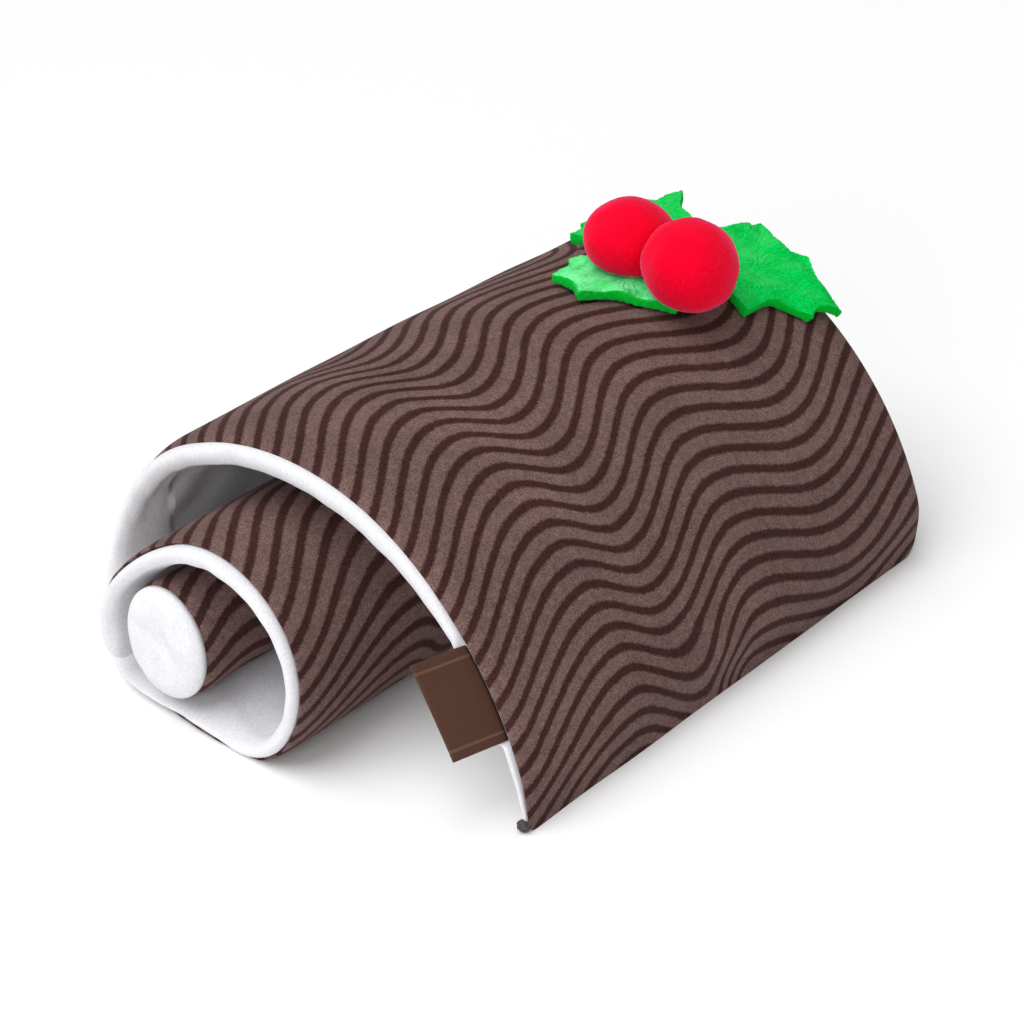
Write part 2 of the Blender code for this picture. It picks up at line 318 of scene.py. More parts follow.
# %% [markdown]
# ## Plush materials
#
# Plush is a mat of short upright threads.  Modelling the threads would need
# millions of faces, so the shader does it: a rough base, a sheen that brightens
# the grazing edges as pile does, fine noise in the colour and a fine bump.
# One function makes all of them, because they differ only in colour and scale.


# %% Node helpers
class Nodes:
    """A small wrapper that adds nodes and wires their inputs in one call."""

    SHEEN_ROUGHNESS = 0.4

    def __init__(self, name, roughness, sheen, sheen_tint):
        self.material = bpy.data.materials.new(name)
        self.material.use_nodes = True
        self.tree = self.material.node_tree
        self.shader = self.tree.nodes["Principled BSDF"]
        self.shader.inputs["Roughness"].default_value = roughness
        self.shader.inputs["Specular IOR Level"].default_value = 0.15
        self.shader.inputs["Sheen Weight"].default_value = sheen
        self.shader.inputs["Sheen Roughness"].default_value = self.SHEEN_ROUGHNESS
        self.shader.inputs["Sheen Tint"].default_value = (*sheen_tint, 1.0)

    def put(self, socket, value):
        if hasattr(value, "is_output"):
            self.tree.links.new(value, socket)
        elif isinstance(value, tuple) and len(value) == 3 and socket.type == "RGBA":
            socket.default_value = (*value, 1.0)
        else:
            socket.default_value = value

    def math(self, operation, *values):
        node = self.tree.nodes.new("ShaderNodeMath")
        node.operation = operation
        for socket, value in zip(node.inputs, values):
            self.put(socket, value)
        return node.outputs[0]

    def ramp(self, value, low, high, to_low=0.0, to_high=1.0):
        node = self.tree.nodes.new("ShaderNodeMapRange")
        node.interpolation_type = "SMOOTHSTEP"
        for socket, number in zip(node.inputs, (value, low, high, to_low, to_high)):
            self.put(socket, number)
        return node.outputs[0]

    def mix(self, share, first, second):
        node = self.tree.nodes.new("ShaderNodeMix")
        node.data_type = "RGBA"
        self.put(node.inputs["Factor"], share)
        self.put(node.inputs[6], first)
        self.put(node.inputs[7], second)
        return node.outputs[2]

    def noise(self, size, detail=3.0, where=None):
        """Noise whose lumps measure about size metres on the object."""
        node = self.tree.nodes.new("ShaderNodeTexNoise")
        node.inputs["Scale"].default_value = 1.0 / size
        node.inputs["Detail"].default_value = detail
        self.put(node.inputs["Vector"], where or self.place())
        return node.outputs["Fac"]

    def place(self, stretch=(1.0, 1.0, 1.0)):
        """Object coordinates, stretched along the axes."""
        coordinates = self.tree.nodes.new("ShaderNodeTexCoord")
        mapping = self.tree.nodes.new("ShaderNodeMapping")
        mapping.inputs["Scale"].default_value = stretch
        self.tree.links.new(coordinates.outputs["Object"], mapping.inputs["Vector"])
        return mapping.outputs["Vector"]

    def bump(self, height, strength, distance, under=None):
        node = self.tree.nodes.new("ShaderNodeBump")
        node.inputs["Strength"].default_value = strength
        node.inputs["Distance"].default_value = distance
        self.put(node.inputs["Height"], height)
        if under is not None:
            self.put(node.inputs["Normal"], under)
        return node.outputs["Normal"]


# %% [markdown]
# ## The printed pattern
#
# Thin dark lines run along the roll and bend together in slow waves.  In the
# factory they are printed on flat cloth.  We do the same: the UV map holds the
# flat cloth's own coordinates, and one number in it, the line count, is bent by
# the wave.  The material then only has to draw a line at each whole number.

# %% The wave of the print
LINE_SPACING = 7.6 * MM
# crests and hollows of the wave, each as (x, height) in mm, at three places up the sheet
WAVE_S = (0.0, 30.0, 160.0)
WAVE = (
    ((-20.7, -26.0), (52.0, 4.5), (89.0, -15.0), (112.0, 10.5), (171.0, -4.0), (222.0, 11.5)),
    ((-20.7, -26.0), (50.0, 5.9), (73.6, -5.8), (115.2, 12.2), (162.6, -0.7), (221.9, 14.5)),
    ((-17.9, -26.9), (40.9, 1.5), (65.0, -11.9), (120.4, 11.5), (164.8, 0.0), (207.2, 25.8)),
)
WAVE_TURN = 200.0            # mm; past here the printed wave runs back again
FIRST_LINE = 2.78
CROWDING = 0.69              # lines that are added towards the flap's edge and over the crest
CROWDING_MIDDLE = 95.0       # mm
CROWDING_END = 190.0         # mm; from here the spacing stays the same


def line_count(x, s):
    """Which printed line passes through a place; whole numbers are the lines' middles."""
    x, s = np.broadcast_arrays(x / MM, s / MM)
    table_s = np.abs((s + WAVE_TURN) % (2 * WAVE_TURN) - WAVE_TURN)
    bends = [
        [np.interp(table_s, WAVE_S, [row[i][k] for row in WAVE]) for k in (0, 1)]
        for i in range(len(WAVE[0]))]
    wave = bends[0][1]
    for (left, low), (right, high) in zip(bends, bends[1:]):
        part = np.clip((x - left) / (right - left), 0.0, 1.0)
        wave = wave + (high - low) * (0.5 - 0.5 * np.cos(math.pi * part))
    crowding = CROWDING * (np.minimum(s, CROWDING_END) / CROWDING_MIDDLE - 1.0) ** 2
    crowding = crowding + 2 * CROWDING * np.maximum(s - CROWDING_END, 0.0) / CROWDING_MIDDLE
    return (s - wave) / (LINE_SPACING / MM) - FIRST_LINE - crowding


# %% Brown plush with the print
GROUND_BROWN = (0.158, 0.089, 0.085)
GROUND_BROWN_WORN = (0.150, 0.094, 0.082)
LINE_BROWN = (0.044, 0.0155, 0.0145)
LINE_HALF = 0.19             # half the line's width, as a share of the spacing
FIBRE = 0.5 * MM
CLUMP = 2.4 * MM
BLOTCH = 24 * MM


def brown_plush():
    """Brown pile with a dark line at each whole number of the UV map's second value."""
    nodes = Nodes("brown_plush", 0.95, 0.05, (0.70, 0.50, 0.50))
    uv = nodes.tree.nodes.new("ShaderNodeUVMap")
    uv.uv_map = "print"
    parts = nodes.tree.nodes.new("ShaderNodeSeparateXYZ")
    nodes.tree.links.new(uv.outputs["UV"], parts.inputs["Vector"])
    # two noises bend the lines: a fine one frays their edges, a coarse one lets them stray
    fray = nodes.math("MULTIPLY", nodes.math("SUBTRACT", nodes.noise(0.7 * MM, 3.0), 0.5), 0.20)
    stray = nodes.math("MULTIPLY", nodes.math("SUBTRACT", nodes.noise(6.0 * MM, 2.0), 0.5), 0.12)
    count = nodes.math("ADD", parts.outputs["Y"], nodes.math("ADD", fray, stray))
    off_line = nodes.math("ABSOLUTE", nodes.math("SUBTRACT", nodes.math("FRACT", count), 0.5))
    line = nodes.ramp(off_line, 0.5 - LINE_HALF - 0.09, 0.5 - LINE_HALF + 0.07)
    # three noises of different size make the pile darker and lighter
    fibre = nodes.noise(FIBRE, 5.0)
    speck = nodes.ramp(fibre, 0.34, 0.66, 0.66, 1.34)
    patch = nodes.ramp(nodes.noise(CLUMP, 3.0), 0.3, 0.7, 0.88, 1.12)
    blotch = nodes.ramp(nodes.noise(BLOTCH, 2.0), 0.3, 0.7, 0.92, 1.08)
    shade = nodes.math("MULTIPLY", nodes.math("MULTIPLY", speck, patch), blotch)
    warm = nodes.mix(nodes.noise(14 * MM, 2.0), GROUND_BROWN, GROUND_BROWN_WORN)
    cloth = nodes.mix(line, warm, LINE_BROWN)
    scaled = nodes.tree.nodes.new("ShaderNodeVectorMath")
    scaled.operation = "SCALE"
    nodes.put(scaled.inputs[0], cloth)
    nodes.put(scaled.inputs["Scale"], shade)
    nodes.put(nodes.shader.inputs["Base Color"], scaled.outputs[0])
    nap = nodes.bump(nodes.noise(2.2 * MM, 3.0), 0.3, 0.5 * MM)
    nodes.put(nodes.shader.inputs["Normal"], nodes.bump(fibre, 0.5, 0.25 * MM, nap))
    return nodes.material


BROWN_PLUSH = brown_plush()
print("printed lines on the flap and crest:", int(line_count(0.0, 185 * MM) - line_count(0.0, 0.0)))


# %% Cloth of one colour, and the white plush
def plain_plush(
        name, colour, deep, sheen, sheen_tint, pile, clump, depth,
        nap_stretch=(1.0, 1.0, 1.0)):
    """A cloth of one colour: pile and clump are the sizes of its fine and coarse noise."""
    nodes = Nodes(name, 0.9, sheen, sheen_tint)
    nodes.shader.inputs["Specular IOR Level"].default_value = 0.04
    fibre = nodes.noise(pile, 4.0, nodes.place(nap_stretch))
    lump = nodes.noise(clump, 2.0)
    share = nodes.ramp(lump, 0.25, 0.75, 0.6, 1.0)
    share = nodes.math("MULTIPLY", nodes.ramp(fibre, 0.3, 0.7), share)
    colour = nodes.mix(share, deep, colour)
    nodes.put(nodes.shader.inputs["Base Color"], colour)
    nap = nodes.bump(lump, 0.4, 2.0 * depth)
    nodes.put(nodes.shader.inputs["Normal"], nodes.bump(fibre, 0.6, depth, nap))
    return nodes, colour


WHITE_PLUSH = plain_plush(
    "white_plush", (0.77, 0.765, 0.785), (0.66, 0.66, 0.69), 0.12, (1.0, 1.0, 1.0),
    0.8 * MM, 5 * MM, 0.2 * MM)[0].material
print("plush materials:", BROWN_PLUSH.name, WHITE_PLUSH.name)

# %% [markdown]
# ## The brown cover
#
# The cover is one skin of plush, about a millimetre and a half thick.  A Screw
# or Bevel modifier can't follow a sheet that rolls up and also slides sideways,
# so the skin is a grid: one row for each step along the spiral, one column for
# each step along the roll, first over the outside and then back underneath.

# %% Rows and columns of the sheet
ROW_STEP = 2.0 * MM
START_EASE = 6 * MM          # the rows crowd together over this much of either end
END_EASE = 14 * MM
EASE_ROWS = 7
EDGE_COLUMNS = 8
MIDDLE_COLUMNS = 62


def sheet_rows():
    """Places along the spiral, close together where the sheet's two ends round over."""
    ease = 1.0 - np.cos(np.linspace(0.0, math.pi / 2, EASE_ROWS, endpoint=False))
    count = int(round((SHEET_END - START_EASE - END_EASE) / ROW_STEP))
    middle = np.linspace(START_EASE, SHEET_END - END_EASE, count)
    return np.concatenate([START_EASE * ease, middle, SHEET_END - END_EASE * ease[::-1]])


# how round the sheet's corners are: far and near on the ground, and at the tucked-in end
FAR_CORNER = 7 * MM
NEAR_CORNER = 2 * MM
TUCKED_CORNER = 5 * MM
CORNER_FADE = 25 * MM


def corner_loss(distance, radius):
    """How far a quarter-circle corner pulls an edge in, at a distance from the other edge."""
    inside = np.clip(distance / radius, 0.0, 1.0)
    return radius * (1.0 - np.sqrt(1.0 - (1.0 - inside) ** 2))


def rounded(x, s):
    """Pulls x in at the sheet's corners."""
    to_near = 1.0 - smooth_step(x / CORNER_FADE)
    to_far = 1.0 - smooth_step((ROLL_LENGTH - x) / CORNER_FADE)
    near = corner_loss(s, NEAR_CORNER) + corner_loss(SHEET_END - s, TUCKED_CORNER)
    return x + near * to_near - corner_loss(s, FAR_CORNER) * to_far


def sheet_columns(inset):
    """Places along the roll, close together where the rims round over."""
    swing = np.linspace(0.0, math.pi / 2, EDGE_COLUMNS, endpoint=False)
    bend = RIM_ROUNDING * (1.0 - np.cos(swing))
    middle = np.linspace(RIM_ROUNDING, ROLL_LENGTH - RIM_ROUNDING, MIDDLE_COLUMNS)
    columns = np.concatenate([bend, middle, ROLL_LENGTH - bend[::-1]])
    return np.clip(columns, inset, ROLL_LENGTH - inset)


rows = sheet_rows()[:, None]
print("rows and columns of the sheet:", len(rows), len(sheet_columns(0.0)))


# %% Cover
COVER_SKIN = 1.4 * MM
SEAM_INSET = 0.5 * MM
SEAM_SWELL = 0.45            # how far the turned-down plush swells out, as a share of its depth
UNDER_INSET = 1.6 * MM
UNDER_COLUMNS = 60
COVER_WOBBLE = 0.14 * MM
WOBBLE_SIZE = 60 * MM
# how far the brown plush turns down over the rim, and where: the padding rolls it up at the foot
TURN_DOWN_S = (0.0, 262.0, 290.0, 335.0, 360.0, 530.0)
TURN_DOWN_MM = (0.5, 0.5, 2.2, 2.6, 0.6, 0.5)


def seam_depth(s):
    """Depth of the seam between the brown and the white plush, below the brown face."""
    return np.interp(s, np.array(TURN_DOWN_S) * MM, np.array(TURN_DOWN_MM) * MM)


def cover_loop(s):
    """x and depth of the points round one row of the skin."""
    fall = seam_depth(s)
    swing = np.linspace(-1.0, 0.8, 5)[None, :] * math.pi / 2
    rim_x = SEAM_INSET - SEAM_SWELL * fall * np.cos(swing)
    rim_d = fall * (0.5 - 0.5 * np.sin(swing))
    flat_x = sheet_columns(SEAM_INSET)[None, 1:-1] + 0 * s
    under_x = np.linspace(UNDER_INSET, ROLL_LENGTH - UNDER_INSET, UNDER_COLUMNS)
    under_x = ROLL_LENGTH - under_x[None, :] + 0 * s
    x = np.concatenate([rim_x, flat_x, ROLL_LENGTH - rim_x[:, ::-1], under_x], axis=1)
    d = np.concatenate([rim_d, 0 * flat_x, rim_d[:, ::-1], COVER_SKIN + 0 * under_x], axis=1)
    return rounded(x, s), d


loop_x, loop_depth = cover_loop(rows)
wobble = COVER_WOBBLE * rim_rise(loop_x) * soft_noise(loop_x, rows, WOBBLE_SIZE, 3)
wobble = wobble * (1.0 - smooth_step((rows - FLAT_START) / FLAT_FADE))
places = sheet_place(loop_x, rows, wobble - loop_depth)
places[..., 2] = np.maximum(places[..., 2], 0.0)
counts = line_count(loop_x, rows)
uv = np.stack(np.broadcast_arrays(loop_x, counts), axis=-1)
cover = grid_object("plush_cover", places, BROWN_PLUSH, uv)
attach(cover, BODY)
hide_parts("cover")

# %% [markdown]
# ## The white lining
#
# The lining covers the inside and turns over both rims up to the seam, which is
# why each rim shows as a soft white roll.  Its cross-section is a loop: round
# the near rim, along the inside, round the far rim and back under the cover.
# Near the flap's free edge there is less filling, so the loop gets thinner.
# How much the rim changes on its way round can't be had from one rule, so short
# tables say it: distances along the spiral, and the size there, both in mm.

# %% How the rim's roundness changes round the spiral
START_ROUNDING = 5 * MM
END_ROUNDING = 12 * MM
RIM_S = (0, 20, 60, 75, 95, 125, 190, 225, 260, 300, 330, 350, 385, 405, 425, 450, 530)
RIM_MM = (3.0, 3.8, 5.5, 6.8, 7.7, 8.2, 8.2, 8.6, 8.6, 8.2, 7.4, 7.0, 6.4, 7.0, 8.2, 8.6, 8.6)
PILLOW_S = (0, 175, 215, 245, 305, 330, 350, 450, 490, 530)
PILLOW_MM = (2.5, 2.5, 7.0, 16.0, 18.0, 10.0, 3.0, 3.0, 9.0, 9.0)


def along_table(s, table_s, values):
    """A size read off a table of millimetres along the spiral."""
    return np.interp(s, np.array(table_s) * MM, np.array(values) * MM)


def rim_thickness(s):
    return along_table(s, RIM_S, RIM_MM)


def pillow_reach(s):
    """How far in from the rim the rounding goes: short on a tight rim, long on a slack one."""
    return along_table(s, PILLOW_S, PILLOW_MM)


# the lining comes over the cover's edge at the shoulder, and sags outwards at the coil's foot
TURN_OVER_S = (0, 62, 80, 110, 180, 205, 250, 272, 530)
TURN_OVER_MM = (0.0, 0.0, 1.0, 1.3, 0.9, 1.6, 3.0, 0.0, 0.0)
SAG_OUT_S = (0, 165, 205, 250, 270, 292, 320, 480, 510, 530)
SAG_OUT_MM = (0.0, 0.0, 1.8, 3.0, 6.0, 6.5, 0.8, 0.6, 2.6, 3.0)


def closing(s):
    """Rounds both ends of the sheet: 0 at an end, 1 a little way in."""
    start = np.clip(s / START_ROUNDING, 0.0, 1.0)
    end = np.clip((SHEET_END - s) / END_ROUNDING, 0.0, 1.0)
    return np.sqrt(1.0 - (1.0 - start) ** 2) * np.sqrt(1.0 - (1.0 - end) ** 2)


print("rim thickness on the crest, mm:", float(rim_thickness(150 * MM)) / MM)

# %% Lining
FLAP_THICKNESS = 6.5 * MM
SHEET_THICKNESS = 8.5 * MM
FLAP_TAPER = 90 * MM
END_THICKNESS = 2.4 * MM     # what is left where both ends of the sheet close
RIM_POINTS = 15
RIM_BULGE_SHARE = 0.34
RIM_LUMPS = 0.10
BACK_DEPTH = 1.9 * MM
BACK_INSET = 4 * MM
LABEL_LOW = 30 * MM          # the label is sewn in between these two places
LABEL_HIGH = 61.5 * MM
LABEL_GAP = 2.5 * MM
LABEL_FADE = 2 * MM
INNER_PUFF = 0.9 * MM
INNER_SWELL = 16 * MM
INNER_FADE = 30 * MM
PRESSED_START = 250 * MM     # the lining lies flat under the core between these two
PRESSED_END = 345 * MM
FOLD_DEPTH = 0.75 * MM
FOLD_SIZE = 32 * MM


def folds(x, s):
    """Loose creases of the lining inside the shoulder, fading away from the near rim."""
    place = smooth_step((s - 130 * MM) / (40 * MM))
    place = place * (1.0 - smooth_step((s - PRESSED_START) / INNER_FADE))
    near = smooth_step(x / (10 * MM)) * np.exp(-np.maximum(x - 22 * MM, 0.0) / (40 * MM))
    return FOLD_DEPTH * place * near * soft_noise(x * 0.9, s * 1.3, FOLD_SIZE, 11)


def near_seam(s):
    """Depth of the seam at the near rim: deeper beside the label, which is sewn in there."""
    start = seam_depth(s) + 0.1 * MM
    beside_label = smooth_step((s - LABEL_LOW + LABEL_FADE) / LABEL_FADE)
    beside_label = beside_label * (1.0 - smooth_step((s - LABEL_HIGH) / LABEL_FADE))
    start = start + (LABEL_GAP - start) * beside_label
    return start - along_table(s, TURN_OVER_S, TURN_OVER_MM)


def lining_loop(s):
    """x and depth of one row: near rim, inner face, far rim and back under the cover."""
    ends, reach = closing(s), pillow_reach(s)
    rim = END_THICKNESS + (rim_thickness(s) - END_THICKNESS) * ends
    full = FLAP_THICKNESS + (SHEET_THICKNESS - FLAP_THICKNESS) * smooth_step(s / FLAP_TAPER)
    full = END_THICKNESS + (full - END_THICKNESS) * ends
    # the two rims: half turns, which swell out of the roll's end and lean into it
    swing = np.linspace(0.0, math.pi, RIM_POINTS)[None, :]
    turned = 0.5 - 0.5 * np.cos(swing)
    lumps = 1.0 + RIM_LUMPS * soft_noise(s, 0 * s, 15 * MM, 5)
    bulge = RIM_BULGE_SHARE * rim * np.sin(swing) * lumps
    near_bulge = bulge + along_table(s, SAG_OUT_S, SAG_OUT_MM) * np.sin(swing)
    inward = reach * turned ** 1.6
    near_start, far_start = near_seam(s), seam_depth(s) + 0.1 * MM
    near_depth = near_start + (rim - near_start) * turned
    far_depth = far_start + (rim - far_start) * turned
    # the inner face between them
    half = ROLL_LENGTH / 2
    share = (sheet_columns(0.0)[None, 2:-2] - half) / half
    inner_x = half + share * (half - reach - 0.5 * MM)
    from_rim = np.minimum(inner_x, ROLL_LENGTH - inner_x) - reach
    pressed = smooth_step((s - PRESSED_START) / INNER_FADE)
    pressed = pressed * (1.0 - smooth_step((s - PRESSED_END) / INNER_FADE))
    inner_depth = rim + (full - rim) * smooth_step(from_rim / INNER_SWELL)
    puff = INNER_PUFF * (1.0 - pressed) * ends * smooth_step(from_rim / INNER_FADE)
    inner_depth = inner_depth + puff + folds(inner_x, s)
    # and the way back, hidden under the cover
    back_x = np.linspace(ROLL_LENGTH - BACK_INSET, BACK_INSET, 8)[None, :] + 0 * s
    far_x = ROLL_LENGTH - (inward - bulge)[:, ::-1]
    x = np.concatenate([inward - near_bulge, inner_x, far_x, back_x], axis=1)
    depth = np.concatenate(
        [near_depth, inner_depth, far_depth[:, ::-1], BACK_DEPTH + 0 * back_x], axis=1)
    return rounded(x, s), depth


loop_x, loop_depth = lining_loop(rows)
places = sheet_place(loop_x, rows, -loop_depth)
places[..., 2] = np.maximum(places[..., 2], 0.2 * MM)
lining = grid_object("plush_lining", places, WHITE_PLUSH)
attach(lining, BODY)
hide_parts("lining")

# %% [markdown]
# ## The core
#
# In the middle of the roll lies a stuffed cylinder in the same brown plush,
# closed by white discs.  A plain cylinder would look like wood, so its side is
# a little uneven and draws in at the two seams, where the discs are sewn on.

# %% Core
CORE_AROUND = 96
CORE_HALF = (core_high - core_low) / 2
CORE_LENGTH = core_high.x - core_low.x
PUCKER = 0.27 * MM
PUCKER_COUNT = 22
CORE_EDGE = 5 * MM
CORE_EDGE_DROP = 0.45
CORE_SKIN_GAP = 0.2 * MM
CORE_LUMPS = 0.35 * MM
CORE_PRINT_START = 560 * MM
CORE_PRINT_SLIDE = 97 * MM
CORE_SETTLE = Vector((-2.1, 1.6, -0.2)) * MM     # the soft core leans into the coil
CORE_TALLER = 1.03


def core_columns():
    """Places along the core, close together where its two edges round over."""
    bend = CORE_EDGE * (1.0 - np.cos(np.linspace(0.0, math.pi / 2, 6, endpoint=False)))
    middle = np.linspace(CORE_EDGE, CORE_LENGTH - CORE_EDGE, 50)
    return np.concatenate([bend, middle, CORE_LENGTH - bend[::-1]])


along = core_columns()[:, None]
turn = np.linspace(0.0, 2 * math.pi, CORE_AROUND, endpoint=False)[None, :]
inside = np.clip(np.minimum(along, CORE_LENGTH - along) / CORE_EDGE, 0.0, 1.0)
edge_loss = CORE_EDGE * CORE_EDGE_DROP * (1.0 - np.sqrt(1.0 - (1.0 - inside) ** 2))
gathers = PUCKER * (1.0 - inside) * np.sin(PUCKER_COUNT * turn)
swell = CORE_LUMPS * soft_noise(along, turn * 18 * MM, 40 * MM, 21)
loss = edge_loss + gathers - swell + CORE_SKIN_GAP
places = np.stack([
    core_low.x + along + 0 * turn,
    CORE_MIDDLE.y + (CORE_HALF.y - loss) * np.cos(turn),
    CORE_MIDDLE.z + (CORE_HALF.z * CORE_TALLER - loss) * np.sin(turn),
], axis=-1) + CORE_SETTLE
around_length = turn * (CORE_HALF.y + CORE_HALF.z) / 2
counts = line_count(along + CORE_PRINT_SLIDE, CORE_PRINT_START - around_length)
uv = np.stack(np.broadcast_arrays(along, counts), axis=-1)
core = grid_object("plush_core", places, BROWN_PLUSH, uv)
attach(core, BODY)
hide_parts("core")

# %% [markdown]
# ## The core's white ends
#
# Each end is a disc of white plush, pushed out by the filling and drawn back in
# its middle by a stitch.  It is a turned form on an oval outline: one radius
# profile does for both, mirrored for the far end.

# %% Core ends
DISC_RINGS = 26
DISC_DOME = 4.6 * MM
DIMPLE = 2.3 * MM
DIMPLE_WIDTH = 0.38
DISC_CRUMPLE = 0.45 * MM
DISC_RADIUS_SHARE = 0.965
DISC_BACK = 1.2 * MM         # how deep the disc sits in the core


def disc_places(direction, base_x, seed):
    """Rings from the middle of the disc to its edge, then once more inside the core."""
    share = np.linspace(0.0, 1.0, DISC_RINGS)[:, None]
    radius = np.sin(share * math.pi / 2) ** 0.9
    dome = DISC_DOME * (1.0 - radius ** 3.2) ** 0.6
    dome = dome - DIMPLE * np.exp(-(radius / DIMPLE_WIDTH) ** 2)
    crumple = soft_noise(radius * np.cos(turn), radius * np.sin(turn), 0.75, seed)
    dome = dome + DISC_CRUMPLE * crumple * (1.0 - radius ** 4)
    radius = radius * DISC_RADIUS_SHARE
    x = base_x + direction * dome
    front = np.stack([
        x + 0 * turn,
        CORE_MIDDLE.y + CORE_HALF.y * radius * np.cos(turn),
        CORE_MIDDLE.z + CORE_HALF.z * CORE_TALLER * radius * np.sin(turn),
    ], axis=-1) + CORE_SETTLE
    back = front[-1:].copy()
    back[..., 0] = base_x + CORE_SETTLE.x - direction * DISC_BACK
    return np.concatenate([front, back])


for name, direction, base_x, seed in (
        ("core_end_near", -1, core_low.x, 31), ("core_end_far", 1, core_high.x, 32)):
    places = disc_places(direction, base_x, seed)
    disc = grid_object("plush_" + name, places[1:], WHITE_PLUSH)
    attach(disc, BODY)
    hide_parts(name)

# %% [markdown]
# ## The berries
#
# The berries are balls of velvet stuffed tightly and sewn down side by side.
# Each starts as an icosphere, whose even faces take dents well, where a sphere
# of rings would show its poles.  Pressing is a soft limit: points past a plane
# slide back to it and the rim stays round.

# %% Velvet and the berries' sizes
# middle (x, s and height above the sheet), radius, shares of width and height, random seed
BERRIES = {
    "berry_left": ((160.4 * MM, 138.6 * MM, 14.0 * MM), 14.6 * MM, (1.07, 0.90), 41),
    "berry_right": ((157.5 * MM, 117.1 * MM, 17.0 * MM), 16.0 * MM, (1.0, 0.96), 42),
}
BERRY_REST = 4.8 * MM        # they lie on the leaves, this far above the sheet
BERRY_LUMPS = 0.3 * MM
BERRY_GAP = 0.3 * MM
PRESS_SOFTNESS = 0.8 * MM
VELVET_PILE = 0.9 * MM
VELVET_DEPTH = 0.10 * MM
RED_VELVET = plain_plush(
    "red_velvet", (0.97, 0.0004, 0.030), (0.74, 0.0003, 0.014), 0.9, (1.0, 0.14, 0.34),
    0.5 * MM, 3 * MM, 0.15 * MM, (1.0, 1.0, 0.3))[0].material
print("berries, mm across:", [round(2 * radius / MM, 1) for _, radius, _, _ in BERRIES.values()])


# %% Pressing, rough pile and one berry
def press(points, plane_point, normal):
    """Soft limit at a plane: far inside nothing moves, past it all points end on it."""
    beyond = (points - plane_point) @ normal
    pushed = PRESS_SOFTNESS * np.logaddexp(0.0, beyond / PRESS_SOFTNESS)
    return points - pushed[:, None] * normal


def roughen(mesh, size, depth):
    """Moves each point along its normal by fine noise, as a pile stands out unevenly."""
    normals = [vert.normal.copy() for vert in mesh.vertices]
    for vert, normal in zip(mesh.vertices, normals):
        vert.co = vert.co + normal * noise.fractal(vert.co / size, 0.6, 2.0, 3) * depth


def berry(name, other_name):
    """One ball of velvet, pressed on the leaves below it and on the other ball."""
    place, radius, stretch, seed = BERRIES[name]
    other_place, other_radius = BERRIES[other_name][:2]
    centre, other_centre = sheet_place(*place), sheet_place(*other_place)
    heading = np.interp(place[1], TABLE_S, TABLE_HEADING)
    up = np.array([0.0, -math.sin(heading), math.cos(heading)])
    shape = bmesh.new()
    bmesh.ops.create_icosphere(shape, subdivisions=6, radius=1.0)
    directions = np.array([vert.co for vert in shape.verts])
    lumps = soft_noise(directions[:, 0] + 0.7 * directions[:, 2], directions[:, 1], 1.1, seed)
    points = directions * (radius + BERRY_LUMPS * lumps)[:, None]
    rise = (points @ up)[:, None] * up
    points = centre + (points - rise) * stretch[0] + rise * stretch[1]
    points = press(points, centre - up * (place[2] - BERRY_REST), -up)
    to_other = other_centre - centre
    direction = to_other / np.linalg.norm(to_other)
    share = radius / (radius + other_radius)
    points = press(points, centre + to_other * share - direction * BERRY_GAP, direction)
    for vert, point in zip(shape.verts, points):
        vert.co = point
    mesh = bpy.data.meshes.new("velvet_" + name)
    shape.to_mesh(mesh)
    shape.free()
    roughen(mesh, VELVET_PILE, VELVET_DEPTH)
    mesh.shade_smooth()
    mesh.materials.append(RED_VELVET)
    ball = bpy.data.objects.new("velvet_" + name, mesh)
    bpy.context.collection.objects.link(ball)
    return ball


# %% Berries
for name, other_name in (("berry_left", "berry_right"), ("berry_right", "berry_left")):
    ball = berry(name, other_name)
    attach(ball, BODY)
    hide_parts(name)
    print(ball.name, "faces:", len(ball.data.polygons))

# %% [markdown]
# ## The holly leaves
#
# Each leaf is cut from thick felt: sharp tips with a hollow between each pair.
# We list only the tips, on the sheet's own coordinates, and let a formula draw
# the hollows.  The leaf is then laid on the roll, with its tips lifted, so it
# follows the curve of the log as the sewn-on felt does.

# %% Green felt
# the pale green is painted highlight on the leaves' upward faces
FELT_PAINTED_HIGHLIGHT = (0.20, 0.96, 0.37)
FELT_DEEP = (0.0006, 0.43, 0.035)
# the edge green is painted shade on the leaves' steep cut edges
FELT_PAINTED_EDGE_SHADE = (0.0006, 0.46, 0.022)


def green_felt(name, top, painted_highlight_share):
    """Felt with a painted highlight where its face looks up and painted shade on its cut edge."""
    nodes, colour = plain_plush(
        name, top, FELT_DEEP, 0.10, (0.30, 1.0, 0.45), 0.6 * MM, 2.6 * MM, 0.3 * MM)
    geometry = nodes.tree.nodes.new("ShaderNodeNewGeometry")
    parts = nodes.tree.nodes.new("ShaderNodeSeparateXYZ")
    nodes.tree.links.new(geometry.outputs["Normal"], parts.inputs["Vector"])
    patch = nodes.noise(5 * MM, 3.0, nodes.place((0.4, 1.0, 1.0)))
    patch = nodes.ramp(patch, 0.35, 0.65, 0.35, 1.0)
    # painted highlight: upward faces are mixed towards the pale green, in random patches
    facing_up = nodes.ramp(parts.outputs["Z"], 0.80, 1.0, 0.0, painted_highlight_share)
    pale = nodes.mix(nodes.math("MULTIPLY", facing_up, patch), colour, FELT_PAINTED_HIGHLIGHT)
    # painted shade: the steep cut edge is mixed towards the deeper edge green
    edge = nodes.ramp(parts.outputs["Z"], 0.15, 0.65, 0.85, 0.0)
    nodes.put(nodes.shader.inputs["Base Color"], nodes.mix(edge, pale, FELT_PAINTED_EDGE_SHADE))
    return nodes.material


